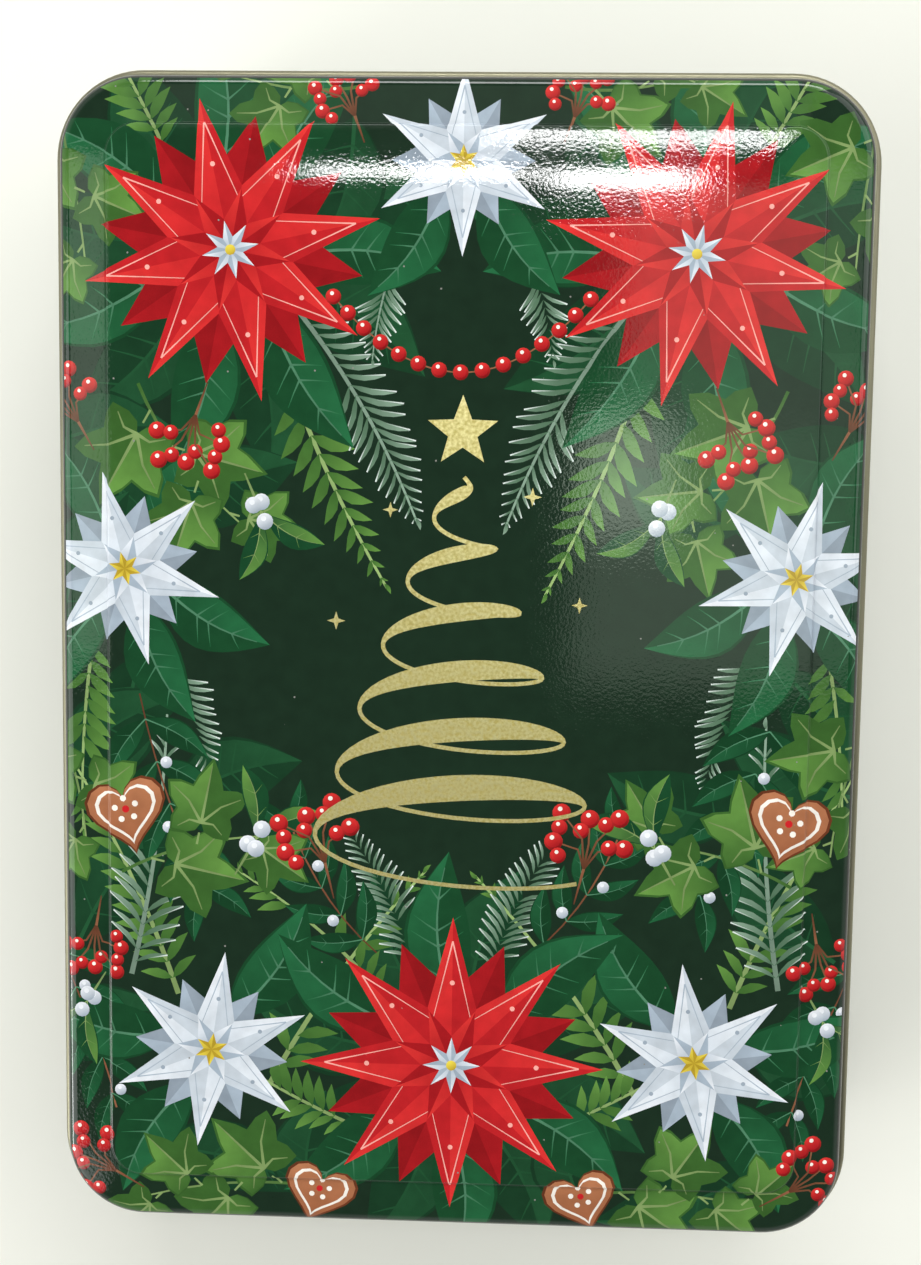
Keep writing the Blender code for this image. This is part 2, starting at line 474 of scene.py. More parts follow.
# %% Folded stars
def facets(at, radius, waist, points, angle, dark, light):
    """One star of folded points, each with a dark and a light side."""
    for k in range(points):
        way = angle + 360 * k / points
        tip = at + turned(way, radius)
        for side in (1, -1):
            valley = at + turned(way + side * 180 / points, waist)
            first, last = (dark, light) if side > 0 else (dark * 0.82, dark)
            corners = [at, tip, valley] if side > 0 else [at, valley, tip]
            lay(corners, first, last, at, tip)


def trim(at, radius, waist, points, angle, line, width):
    """A thin line inside each point of a star, along its two edges."""
    for k in range(points):
        way = angle + 360 * k / points
        tip = at + turned(way, radius)
        for side in (1, -1):
            valley = at + turned(way + side * 180 / points, waist)
            stroke([valley, (valley * 0.4 + tip * 0.6), tip], width * 0.5, width, line * 0.85, line)


def red_star(at, radius=31.0, angle=0.0):
    """A large red star of three folded layers with white trim."""
    facets(at, radius * 0.88, radius * 0.5, 8, angle + 22.5, RED_DEEP * 0.75, RED_DEEP)
    facets(at, radius, radius * 0.42, 8, angle, RED * 0.92, RED_LIT)
    trim(at, radius * 0.84, radius * 0.33, 8, angle, RED_LINE, 0.32)
    facets(at, radius * 0.4, radius * 0.2, 8, angle + 22.5, RED_DEEP, RED_LIT)
    facets(at, radius * 0.19, radius * 0.085, 8, angle, SNOW_DEEP, SNOW_LIT)
    dot(at, radius * 0.035, YOLK_DEEP, YOLK, 10)
    for k in range(8):
        dot(at + turned(angle + 45 * k, radius * 0.56), radius * 0.017, RED_LINE, points=8)


def snow_star(at, radius=20.0, angle=0.0):
    """A white star of three folded layers with a yellow centre."""
    facets(at, radius * 0.76, radius * 0.42, 6, angle + 30, SNOW_DEEP * 0.72, SNOW_DEEP)
    facets(at, radius, radius * 0.37, 6, angle, SNOW, SNOW_LIT)
    trim(at, radius * 0.8, radius * 0.27, 6, angle, SNOW_DEEP, 0.28)
    facets(at, radius * 0.34, radius * 0.17, 6, angle + 30, SNOW_DEEP, SNOW_LIT)
    facets(at, radius * 0.17, radius * 0.08, 6, angle, YOLK_DEEP, YOLK)
    for k in range(6):
        dot(at + turned(angle + 60 * k, radius * 0.52), radius * 0.022, SNOW_DEEP * 0.8, points=8)


# %% Beads and iced biscuits
def bead(at, radius=1.55):
    """A red wooden bead with a dark under side and a light."""
    dot(at, radius, RED_DEEP * 0.45, RED_LIT, 14)
    dot(at + turned(115, radius * 0.12), radius * 0.8, RED_DEEP, RED_LIT, 12)
    dot(at + turned(112, radius * 0.45), radius * 0.26, ICING, points=8)


def bead_string(path, count, radius=1.55):
    """Beads evenly along a thread."""
    stroke(path, 0.3, 0.3, TWIG_LIT)
    steps = np.concatenate([[0], np.cumsum(np.abs(np.diff(path)))])
    for place in np.linspace(0, steps[-1], count):
        real = np.interp(place, steps, path.real)
        bead(complex(real, np.interp(place, steps, path.imag)), radius)


def bead_sprig(at, angle, size=11.0):
    """A bare twig with a bead on each of its ends."""
    for way, reach in ((-48, 0.72), (-20, 1.0), (8, 0.82), (36, 0.98), (62, 0.66)):
        end = at + turned(angle + way, size * reach)
        middle = at + turned(angle + way * 0.5, size * reach * 0.5)
        stroke([at, middle, end], 0.5, 0.3, TWIG, TWIG_LIT)
        bead(end, size * 0.15)
        bead(end + turned(angle + way + 150, size * 0.24), size * 0.13)
    stroke([at - turned(angle, size * 0.6), at], 0.25, 0.6, TWIG, TWIG_LIT)


def heart_outline(size, points=26):
    """A heart that points down, about twice its size across."""
    t = 2 * np.pi * np.arange(points) / points
    x = 16 * np.sin(t) ** 3
    y = 13 * np.cos(t) - 5 * np.cos(2 * t) - 2 * np.cos(3 * t) - np.cos(4 * t)
    return size * (x + 1j * y)[::-1] / 16


def iced_heart(at, size=7.5, angle=0.0):
    """A gingerbread heart: baked edge, body, an iced line and dots."""
    turn = turned(angle)
    lay(at + turn * heart_outline(size), CRUST_DEEP, CRUST_DEEP * 1.2, at, at + 1)
    for share, first, last in (
        (0.93, CRUST, CRUST_LIT), (0.76, ICING * 0.85, ICING), (0.67, CRUST, CRUST_LIT),
    ):
        heart = at + turn * heart_outline(size * share)
        lay(heart, first, last, at - 1j * size, at + 1j * size)
    for k in range(5):
        place = at + turn * (0.05j * size + turned(90 + 72 * k, size * 0.26))
        dot(place, size * 0.075, ICING, points=8)
    dot(at + turn * 0.05j * size, size * 0.09, RED, points=8)


print("stars, beads and biscuits are ready")

# %% [markdown]
# ## The layout
#
# The foliage forms a frame round a bare dark centre. Both long sides mirror each other, which
# is how a plain commercial border is drawn, and the mirror copy draws its own random numbers,
# so the two sides aren't stamped. Dark leaves come first, then ferns, then bright leaves, and
# stars and beads lie on top.

# %% Foliage
def both(draw, at, angle, *sizes, bend=None, **more):
    """Draws a motif and its mirror image across the long axis."""
    extra = {} if bend is None else {"bend": bend}
    draw(at, angle, *sizes, **extra, **more)
    extra = {} if bend is None else {"bend": -bend}
    turn = 180 - angle + random.uniform(-4, 4)
    draw(-at.conjugate(), turn, *sizes, **extra, **more)


def laurel(at, angle, length, width, bend=0.1):
    """A mid-green leaf."""
    leaf(at, angle, length, width, LAUREL, LAUREL_LIT, LAUREL_VEIN, bend)


def shadow_leaf(at, angle, length, width, bend=0.1):
    """A leaf almost as dark as the ground."""
    leaf(at, angle, length, width, FOREST, FOREST_LIT, FOREST_LIT * 1.5, bend, 4)


def bright_fern(at, angle, length, width, bend=0.12, pairs=15):
    """A light green fern."""
    fern(at, angle, length, width, FERN, FERN_LIT, FERN_VEIN, bend, pairs)


def laurel_spray(at, angle, length, size, bend=0.15):
    """A stem with pairs of dark leaves and white berries between them."""
    inks = (LAUREL * 0.8, LAUREL_LIT * 0.8, LAUREL_VEIN)
    stroke(on_stem(at, angle, length, bend, np.linspace(0, 1, 8)), 0.3, 0.4, TWIG, TWIG_LIT)
    for k in range(5):
        part = (k + 0.6) / 5
        place = on_stem(at, angle, length, bend, part)
        near = size * (1.0 - 0.25 * part)
        for side in (1, -1):
            way = stem_way(angle, bend, part) + side * (46 - 16 * part)
            leaf(place, way, near, near * 0.36, *inks, 0.08 * side, 2)
    for k in range(3):
        place = on_stem(at, angle, length, bend, (k + 1.1) / 3.4)
        white_berry(place + turned(angle + 80 - 160 * (k % 2), 2.0), 1.25)


STAR_TOP = 47 + 85j
STAR_LOW = 0 - 84j
SNOW_TOP = 0 + 103j
SNOW_SIDE = 69 + 20j
SNOW_LOW = 51 - 82j

for way in (12, 62, 118, 168, 214, 262, 318):
    both(shadow_leaf, STAR_TOP + turned(way, 9), way, 38, 18)
for way in (20, 70, 110, 160, 205, 245, 295, 335):
    shadow_leaf(STAR_LOW + turned(way, 9), way, 36, 17)
for at, way, length in (
    (70 + 44j, -80, 36), (84 + 6j, 122, 34), (66 + 2j, -60, 34), (86 - 26j, 150, 36),
    (80 - 60j, 130, 36),
    (66 - 104j, 200, 38), (84 - 92j, -60, 30), (22 + 112j, -70, 30), (86 + 74j, -60, 28),
    (58 + 30j, 152, 28), (60 - 30j, 160, 30), (88 - 84j, 160, 30), (88 + 44j, 170, 30),
    (30 - 118j, 100, 28),
):
    both(shadow_leaf, at, way, length, 16)
print(len(shapes), "shapes of dark leaves")

# %% Ferns and sprays of the upper half
for at, way, length, width, bend in (
    (40 + 74j, -104, 62, 18, -0.12), (56 + 66j, -66, 54, 17, 0.12), (30 + 96j, 196, 34, 14, 0.2),
    (60 + 104j, 64, 40, 16, -0.1), (34 + 108j, 112, 34, 14, 0.15), (72 + 84j, -12, 34, 15, 0.1),
    (78 + 30j, 66, 44, 16, 0.1),
):
    both(bright_fern, at, way, length, width, bend=bend)
for at, way, length, width, bend in (
    (34 + 74j, -128, 50, 18, 0.16), (62 + 64j, -88, 52, 18, -0.14), (24 + 90j, 152, 36, 15, -0.1),
    (70 + 100j, 34, 34, 15, 0.1), (10 + 92j, -62, 30, 13, -0.2), (50 + 108j, 100, 36, 15, 0.05),
    (74 + 70j, -40, 36, 16, 0.1), (62 + 24j, 160, 30, 13, -0.16),
):
    both(frosted_fern, at, way, length, width, bend=bend)
for star, side, gap, way, length, width, bend in (
    (STAR_TOP, 235, 12, 235, 35, 14, 0.08), (STAR_TOP, 285, 12, 285, 34, 14, -0.08),
    (STAR_TOP, 185, 12, 187, 31, 14, -0.1), (STAR_TOP, 80, 12, 82, 36, 14, 0.1),
    (STAR_TOP, 130, 12, 128, 34, 13, -0.1), (STAR_TOP, 30, 12, 30, 36, 14, 0.1),
    (STAR_TOP, -16, 12, -18, 36, 14, -0.1), (SNOW_TOP, -50, 6, -52, 27, 12, -0.1),
    (SNOW_SIDE, 60, 7, 58, 28, 12, 0.1), (SNOW_SIDE, 130, 7, 134, 26, 11, -0.1),
):
    both(laurel, star + turned(side, gap), way, length, width, bend=bend)
for at, way, length, size, bend, leaves in (
    (66 + 58j, -112, 34, 15.5, -0.25, 4), (20 + 118j, -10, 26, 13.5, 0.3, 3),
    (84 + 116j, -104, 34, 14, 0.1, 3),
):
    both(ivy_trail, at, way, length, size, bend=bend, leaves=leaves)
print(len(shapes), "shapes with the upper half")

# %% Ferns and sprays of the lower half
for at, way, length, width, bend in (
    (40 - 92j, 118, 60, 18, 0.14), (58 - 70j, 70, 56, 17, -0.12), (20 - 98j, 24, 40, 15, 0.1),
    (14 - 70j, 52, 44, 15, -0.2), (60 - 104j, -38, 36, 15, 0.1), (76 + 6j, -78, 42, 16, -0.1),
    (70 - 84j, 20, 30, 15, 0.1), (76 - 56j, 60, 40, 15, 0.12),
):
    both(bright_fern, at, way, length, width, bend=bend)
for at, way, length, width, bend in (
    (68 - 66j, 100, 56, 19, -0.1), (34 - 76j, 84, 44, 16, 0.16), (30 - 108j, -24, 46, 16, 0.12),
    (8 - 64j, 76, 34, 13, -0.2), (74 - 92j, 12, 30, 15, 0.1), (64 + 8j, -120, 34, 14, 0.14),
    (80 - 2j, -50, 34, 16, 0.1), (64 - 98j, -80, 34, 15, -0.1),
):
    both(frosted_fern, at, way, length, width, bend=bend)
for at, way, length, size, bend in (
    (66 - 6j, -104, 46, 16, -0.12), (16 - 60j, 40, 34, 13, 0.3), (86 - 58j, -118, 40, 15, 0.1),
):
    both(laurel_spray, at, way, length, size, bend=bend)
for star, side, gap, way, length, width, bend in (
    (SNOW_LOW, 120, 8, 122, 30, 13, 0.1), (SNOW_LOW, -60, 8, -62, 30, 13, 0.1),
    (SNOW_LOW, 20, 8, 16, 32, 13, -0.1), (SNOW_SIDE, 200, 7, 205, 27, 12, 0.1),
    (SNOW_SIDE, -110, 7, -114, 28, 12, 0.1), (SNOW_SIDE, -60, 7, -58, 28, 12, 0.1),
):
    both(laurel, star + turned(side, gap), way, length, width, bend=bend)
for way in (38, 90, 142, 218, 270, 322):
    laurel(STAR_LOW + turned(way, 12), way, 34, 14)
for at, way, length, size, bend, leaves in (
    (70 - 44j, 150, 30, 15, 0.25, 3), (30 - 112j, 8, 34, 14.5, -0.2, 4),
    (86 - 8j, -116, 30, 14, 0.2, 3),
):
    both(ivy_trail, at, way, length, size, bend=bend, leaves=leaves)
for at, way, size in ((46 - 44j, 120, 16), (44 + 40j, -110, 15), (74 - 66j, -60, 14)):
    both(mistletoe, at, way, size)
print(len(shapes), "shapes with the lower half")

# %% Stars, beads and biscuits in their places
def mirrored(at, mirror):
    """The place itself, or its mirror image across the long axis."""
    return complex(mirror * at.real, at.imag)


for mirror in (1, -1):
    star = mirrored(STAR_TOP, mirror)
    bead_sprig(star + turned(90 - mirror * 168, 34), 90 - mirror * 160, 12)
    for at, way, size in (
        (27 - 41j, 14, 13), (72 - 110j, 60, 12), (79 + 50j, 30, 11), (76 - 56j, 170, 11),
        (22 + 112j, 20, 10),
    ):
        bead_sprig(mirrored(at, mirror), 90 - mirror * way, size)
    red_star(star, 31, 90 - mirror * 12)
    snow_star(mirrored(SNOW_SIDE, mirror), 20.5, 90 - mirror * 14)
    snow_star(mirrored(SNOW_LOW, mirror), 21.5, 90 + mirror * 8)
    iced_heart(mirrored(69 - 31j, mirror), 9, mirror * -14)
    iced_heart(mirrored(28 - 113j, mirror), 8, mirror * 18)
red_star(STAR_LOW, 32, 90)
snow_star(SNOW_TOP, 19, 90)
swag = np.linspace(-26, 26, 33)
bead_string(swag + 1j * (61 + 0.022 * swag**2), 15, 1.6)
print(len(shapes), "shapes in the frame")

# %% [markdown]
# ## The gold tree
#
# The gold is foil, pressed on after the inks. A tree drawn as one rising spiral suits it: the
# front of each turn is a broad stroke and the back a hairline, as with a flexible pen nib.
# The ribbon crosses itself, so it is laid as many short pieces, each a shape of its own.

# %% The spiral tree and its star
TREE_FOOT = -40.0
TREE_TOP = 40.0
TREE_REACH = 31.0
TREE_TURNS = 6
FIRST_TURN = 0.6
LEAN = 0.24


def pen_line(path, widths):
    """A gold ribbon that may cross itself."""
    along = np.gradient(path)
    side = 1j * along / np.abs(along)
    left = path + side * widths / 2
    right = path - side * widths / 2
    for i in range(len(path) - 1):
        lay([right[i], right[i + 1], left[i + 1], left[i]], ICING, foil=True)


def gold_star(at, radius, points=5, waist=0.42, angle=90.0):
    """A small solid star."""
    rim = []
    for k in range(2 * points):
        rim.append(at + turned(angle + 180 * k / points, radius * (waist if k % 2 else 1)))
    lay(rim, ICING, foil=True)


turns = np.linspace(0, 2 * np.pi * TREE_TURNS, 46 * TREE_TURNS)
rise = turns / turns[-1]
reach = TREE_REACH * (1 - rise) ** 0.9 + 1.2 * rise
height = TREE_FOOT + (TREE_TOP - TREE_FOOT) * rise
across = reach * np.cos(turns + FIRST_TURN)
spiral = across + 1j * (height - LEAN * reach * np.sin(-turns - FIRST_TURN + np.pi))
front = np.clip(-np.sin(turns + FIRST_TURN), 0, 1)
pen_line(spiral, 0.85 + (1.6 + 3.4 * (1 - rise)) * front**1.4)
gold_star(complex(0.6, 49), 7.5)
for at, size in ((15 + 36j, 1.9), (-14 + 33j, 1.6), (25 + 14j, 1.7), (-25 + 10j, 1.9)):
    gold_star(at, size, 4, 0.34)
print(len(shapes), "shapes in all")

# %% [markdown]
# ## From flat print to pressed lid
#
# All outlines go into one constrained Delaunay triangulation: it cuts the sheet into triangles
# whose edges follow every outline, with no two layers on top of each other. The rings of the
# section are put in as well, so that the sheet can bend along them. Each triangle then takes the
# last shape that covers its middle. Sheet further out than the crease is measured along its own
# curve, so the print runs over the edge and down the skirt. Two bands are printed last: plain
# ground down the skirt, and a near-black line where it turns. That line is painted shade: it stands
# in for the dark line that the photograph shows between the picture and the hem, where the gap
# beside the hem lies in shadow. All lengths here are millimetres. Corners sit on a grid of a
# thousandth, so that edges which nearly touch can't leave slivers.

# %% Triangles that follow outlines
MM = 0.001
GRID = 0.001
SNAP = 1e-4

top_face, under_face, top_facing = faces_of(lid_section())
SKIRT_END = ROLL_STEPS + CREASE_STEPS + EDGE_STEPS + 5
# Rows where the painted shade line round the skirt starts and ends.
SHADE_LINE_START, SHADE_LINE_END = SKIRT_END - 11, SKIRT_END - 2
steps_along = np.linalg.norm(np.diff(top_face, axis=0), axis=1)
flat_place = top_face[0, 0] + np.concatenate([[0], np.cumsum(steps_along)])


def inside(points, polygon):
    """Which points lie in a closed polygon."""
    found = np.zeros(len(points), bool)
    for a, b in zip(polygon, np.roll(polygon, -1)):
        if a.imag == b.imag:
            continue
        crosses = (points.imag < a.imag) != (points.imag < b.imag)
        reach = a.real + (points.imag - a.imag) * (b.real - a.real) / (b.imag - a.imag)
        found ^= crosses & (points.real < reach)
    return found


def chained(loops):
    """The points of all loops, on a fine grid, and the edges round each loop."""
    points, edges = [], []
    for loop in loops:
        first, count = len(points), len(loop)
        points += list(np.round(loop / GRID) * GRID)
        edges += [(first + i, first + (i + 1) % count) for i in range(count)]
    return points, edges


def triangulate(points, edges, rim):
    """Corners and triangles within the rim, all edges, and what each corner and edge lies on."""
    flat_points = [Vector((p.real, p.imag)) for p in points]
    found = delaunay_2d_cdt(flat_points, edges, [], 0, SNAP, True)
    corners = np.array([complex(v.x, v.y) for v in found[0]])
    triangles = np.array([face[:3] for face in found[2]])
    middles = corners[triangles].mean(axis=1)
    return corners, triangles[inside(middles, rim)], np.array(found[1]), found[3], found[4]


skirt_ring = ring(flat_place[SKIRT_END]) / MM
hem_ring = ring(flat_place[SKIRT_END + 1]) / MM
# The second band is painted shade: a near-black line for the shadow where the skirt turns to the
# hem.
for start, end, colour in ((SHADE_LINE_START, SKIRT_END + 1, GROUND), (SHADE_LINE_START, SHADE_LINE_END, EDGE_SHADE_LINE)):
    inner, outer = ring(flat_place[start]) / MM, ring(flat_place[end]) / MM
    lay(np.concatenate([outer, outer[:1], inner, inner[:1]]), colour)
bend_points, bend_edges = chained([hem_ring] + [ring(p) / MM for p in flat_place[: SKIRT_END + 1]])
points, edges = chained([shape.outline for shape in shapes])
points = bend_points + points
edges = bend_edges + [(a + len(bend_points), b + len(bend_points)) for a, b in edges]
corners, triangles, sides, corner_from, side_from = triangulate(points, edges, hem_ring)
print(len(corners), "corners and", len(triangles), "triangles with every outline")

# %% [markdown]
# A later shape covers an earlier one, so the last shape over a triangle's middle is the one
# that shows. Greenery that ends up mostly covered would leave odd scraps between the stars.
# A frond that shows less than three tenths of its area is left out, and so is a leaflet that
# is more than half covered. The rest is then looked up once more.

# %% Which shape shows in each triangle
BARE = -2
LEAST_FROND = 0.3
LEAST_LEAFLET = 0.5


def shape_shown(corners, triangles):
    """The last shape over the middle of each triangle, -1 on the ground, BARE off the print."""
    middles = corners[triangles].mean(axis=1)
    order = np.argsort(middles.real)
    middles = middles[order]
    shown = np.full(len(middles), -1)
    for i, shape in enumerate(shapes):
        outline = shape.outline
        first, last = np.searchsorted(middles.real, (outline.real.min(), outline.real.max()))
        level = middles[first:last].imag
        near = first + np.flatnonzero((level > outline.imag.min()) & (level < outline.imag.max()))
        shown[near[inside(middles[near], outline)]] = i
    shown[~inside(middles, skirt_ring)] = BARE
    found = np.empty_like(shown)
    found[order] = shown
    return found


def area(outline):
    """Area inside a closed outline."""
    return abs((outline * np.conj(np.roll(outline, -1))).imag.sum()) / 2


def worth_keeping(corners, triangles, showing):
    """Whether to keep each shape: fronds and leaflets that are mostly covered are left out."""
    a, b, c = corners[triangles].T
    sizes = np.abs(((b - a) * np.conj(c - a)).imag) / 2
    shown = np.bincount(showing[showing >= 0], sizes[showing >= 0], len(shapes))
    whole = [area(shape.outline) for shape in shapes]
    keep = np.ones(len(shapes), bool)
    for first, last, step in fronds:
        if shown[first:last].sum() < LEAST_FROND * sum(whole[first:last]):
            keep[first:last] = False
        for k in range(first + 1, last, step):
            if shown[k] < LEAST_LEAFLET * whole[k]:
                keep[k : k + step] = False
    return keep


showing = shape_shown(corners, triangles)
keep = worth_keeping(corners, triangles, showing)
shapes = [shape for shape, kept in zip(shapes, keep) if kept]
showing = shape_shown(corners, triangles)
print(len(keep) - len(shapes), "covered shapes left out")

# %% [markdown]
# Most outlines are partly hidden under later shapes, and a hidden outline only costs
# triangles. So the edges with the same shape on both sides are dropped, straight runs that
# they had cut up are joined again, and what is left is triangulated a second time.

# %% Only the outlines that show
def kept_sides():
    """Sides of triangles that lie on a ring, or that part two different shapes."""
    around = np.concatenate([triangles[:, [0, 1]], triangles[:, [1, 2]], triangles[:, [2, 0]]])
    around.sort(axis=1)
    keys = around[:, 0] * len(corners) + around[:, 1]
    order = np.argsort(keys)
    keys, seen = keys[order], np.tile(showing, 3)[order]
    ends = np.sort(sides, axis=1)
    wanted = ends[:, 0] * len(corners) + ends[:, 1]
    low = np.searchsorted(keys, wanted).clip(max=len(keys) - 1)
    high = (np.searchsorted(keys, wanted, side="right") - 1).clip(min=0)
    on_ring = np.array([any(k < len(bend_edges) for k in found) for found in side_from])
    return np.flatnonzero((keys[low] == wanted) & (on_ring | (seen[low] != seen[high])))


def joined_runs(kept):
    """Ends of the kept sides, without the corners that only a hidden outline had put there."""
    reached = {}
    for k in kept:
        a, b = sides[k].tolist()
        reached.setdefault(a, {})[b] = set(side_from[k])
        reached.setdefault(b, {})[a] = set(side_from[k])
    for corner, others in list(reached.items()):
        if corner_from[corner] or len(others) != 2:
            continue
        (a, first), (b, second) = others.items()
        if first & second and b not in reached[a]:
            for one, other in ((a, b), (b, a)):
                del reached[one][corner]
                reached[one][other] = first & second
            del reached[corner]
    return [(a, b) for a, others in reached.items() for b in others if a < b]


runs = np.array(joined_runs(kept_sides()))
used, places_in_used = np.unique(runs, return_inverse=True)
edges = places_in_used.reshape(-1, 2).tolist()
corners, triangles = triangulate(corners[used], edges, hem_ring)[:2]
showing = shape_shown(corners, triangles)
print(len(corners), "corners and", len(triangles), "triangles in the print")

# %% [markdown]
# The flat corners are then moved to their place on the pressed sheet. The outset, height and
# facing of the section are looked up at each corner's distance along the sheet. The facing is
# kept as a custom normal: the triangles are slender and uneven, and would otherwise make
# small ripples in the reflections on the rounded edge.

# %% Pressing the print
def pressed(points, outset, height, facing_out, facing_up):
    """Places and normals for flat points, from their outset, height and facing in the section."""
    start, way = outset_of(points)
    plan = points + way * (outset - start)
    diagonal = 1 / np.maximum(np.abs(way.real) + np.abs(way.imag), 1)
    tilt = facing_out * np.where(start < PANEL_CORNER - CORNER_RADIUS, diagonal, 1)
    places = np.stack([plan.real, plan.imag, height], axis=1)
    normals = np.stack([tilt * way.real, tilt * way.imag, facing_up], axis=1)
    return places, normals / np.linalg.norm(normals, axis=1)[:, None]


top_facing[0] = (0, 1)
flat = corners * MM
along_sheet, _ = outset_of(flat)
outsets, heights = (np.interp(along_sheet, flat_place, row) for row in top_face.T)
outsets = np.where(along_sheet < flat_place[0], along_sheet, outsets)
facing_out, facing_up = (np.interp(along_sheet, flat_place, row) for row in top_facing.T)
print_places, print_normals = pressed(flat, outsets, heights, facing_out, facing_up)
print("the print rises to", round(1000 * print_places[:, 2].max(), 3), "mm")

# %% [markdown]
# The rest of the lid is bare sheet: round the hem, up inside the skirt and under the panel. It
# could be a separate shell, but the lid is one piece, so it grows from the very corners that
# end the print. They are carried along the remaining rings to the crease, and the panel's
# under side is filled with triangles of its own.

# %% The hem, the inside of the skirt and the under side
def rim_of(corners, triangles):
    """Corners on the rim of a patch of triangles, anticlockwise."""
    sides = np.concatenate([triangles[:, [0, 1]], triangles[:, [1, 2]], triangles[:, [2, 0]]])
    edges, counts = np.unique(np.sort(sides, axis=1), axis=0, return_counts=True)
    rim = np.unique(edges[counts == 1])
    return rim[np.argsort(np.angle(corners[rim]))]


UNDER_END = ROLL_STEPS + CREASE_STEPS
rim = rim_of(corners, triangles)
rim_start, rim_way = outset_of(flat[rim])
rim_base = flat[rim] - rim_way * rim_start

rows = list(zip(top_face[SKIRT_END + 2 :], top_facing[SKIRT_END + 2 :]))
rows += list(zip(under_face[UNDER_END:], -top_facing[UNDER_END:]))[::-1]
bare_places, bare_normals = [], []
for (outset, height), (out, up) in rows:
    plan = rim_base + rim_way * outset
    bare_places.append(np.stack([plan.real, plan.imag, np.full(len(plan), height)], axis=1))
    facing = [rim_way.real * out, rim_way.imag * out, np.full(len(plan), up)]
    bare_normals.append(np.stack(facing, axis=1))

under_loops = [rim_base + rim_way * under_face[UNDER_END, 0]]
under_loops += [ring(outset) for outset in under_face[:UNDER_END, 0]]
under_points, under_edges = chained([loop / MM for loop in under_loops])
under_corners, under_triangles = triangulate(under_points, under_edges, under_loops[0] / MM)[:2]
under_flat = under_corners * MM
under_outset, _ = outset_of(under_flat)
section_rows = (under_face[:, 1], -top_facing[:, 0], -top_facing[:, 1])
under_reach = under_face[: UNDER_END + 1, 0]
under_known = [np.interp(under_outset, under_reach, row[: UNDER_END + 1]) for row in section_rows]
under_places, under_normals = pressed(under_flat, under_outset, *under_known)
under_rim = rim_of(under_corners, under_triangles)
print(len(rim), "corners round the hem and", len(under_rim), "round the under side")


# %% [markdown]
# ## Finishes
#
# Four finishes cover the tin: varnished ink, gold foil, bare tinplate under a thin gold
# lacquer, and the green lacquer of the wall. Painted images could carry them, but nodes stay
# sharp at any distance. Effects that several finishes share are node groups, built once and
# given their own values in each material.

# %% Helpers for shader nodes
def node_group(name, inputs, outputs):
    """A new shader group and its two ends."""
    tree = bpy.data.node_groups.new(name, "ShaderNodeTree")
    for label, kind, value in inputs:
        socket = tree.interface.new_socket(label, in_out="INPUT", socket_type=kind)
        socket.default_value = value
    for label, kind in outputs:
        tree.interface.new_socket(label, in_out="OUTPUT", socket_type=kind)
    return tree, tree.nodes.new("NodeGroupInput"), tree.nodes.new("NodeGroupOutput")


def add(tree, kind, links=(), **values):
    """Adds a node, sets its values by socket or property name, and links its inputs."""
    node = tree.nodes.new(kind)
    for name, value in values.items():
        if hasattr(node, name):
            setattr(node, name, value)
        else:
            node.inputs[name.replace("_", " ")].default_value = value
    for name, source in dict(links).items():
        tree.links.new(source, node.inputs[name])
    return node


def graded(tree, value, low, high, to_low, to_high):
    """A value that is mapped from one range to another."""
    node = add(tree, "ShaderNodeMapRange", {"Value": value})
    ends = ("From Min", "From Max", "To Min", "To Max")
    for name, number in zip(ends, (low, high, to_low, to_high)):
        node.inputs[name].default_value = number
    return node.outputs[0]


NUMBER = "NodeSocketFloat"
COLOUR = "NodeSocketColor"
print("node helpers are ready")

# %% [markdown]
# Varnish that is rolled on and baked never dries quite flat: close up it has a fine orange
# peel, which turns the image of a lamp into a grainy bar. Modelled waves would take millions
# of faces, so a noise gives the height for a bump. A little of a broad noise is mixed in, for
# the slow waves of the sheet.

# %% Ripple of the varnish
ripple, ends, out = node_group(
    "varnish_ripple",
    [("Scale", NUMBER, 1300.0), ("Broad Share", NUMBER, 0.3)],
    [("Height", NUMBER)],
)
place = add(ripple, "ShaderNodeTexCoord").outputs["Object"]
fine_scale = ends.outputs["Scale"]
fine = add(ripple, "ShaderNodeTexNoise", {"Vector": place, "Scale": fine_scale}, Detail=2.0)
slow = add(ripple, "ShaderNodeMath", {0: fine_scale}, operation="MULTIPLY")
slow.inputs[1].default_value = 0.12
broad = add(ripple, "ShaderNodeTexNoise", {"Vector": place, "Scale": slow.outputs[0]}, Detail=1.0)
blend = add(
    ripple, "ShaderNodeMix",
    {0: ends.outputs["Broad Share"], 2: fine.outputs["Fac"], 3: broad.outputs["Fac"]},
)
ripple.links.new(blend.outputs[0], out.inputs["Height"])
print("ripple group", len(ripple.nodes), "nodes")

# %% [markdown]
# Opaque ink is never one even colour. The group takes any colour and makes it up to a tenth
# darker or lighter in soft clouds, so it serves every ink of the picture and the wall alike.

# %% Body of a painted ink
body, ends, out = node_group(
    "ink_body", [("Color", COLOUR, (1, 1, 1, 1)), ("Scale", NUMBER, 260.0)], [("Color", COLOUR)]
)
place = add(body, "ShaderNodeTexCoord").outputs["Object"]
links = {"Vector": place, "Scale": ends.outputs["Scale"]}
brush = add(body, "ShaderNodeTexNoise", links, Detail=4.0)
tone = graded(body, brush.outputs["Fac"], 0.3, 0.7, 0.9, 1.1)
shade = add(body, "ShaderNodeHueSaturation", {"Color": ends.outputs["Color"], "Value": tone})
body.links.new(shade.outputs[0], out.inputs["Color"])
print("ink group", len(body.nodes), "nodes")

# %% [markdown]
# A tin that has been handled carries a few pale specks. Cells of a Voronoi texture give one
# point each, and the mask is white only very near to a point.

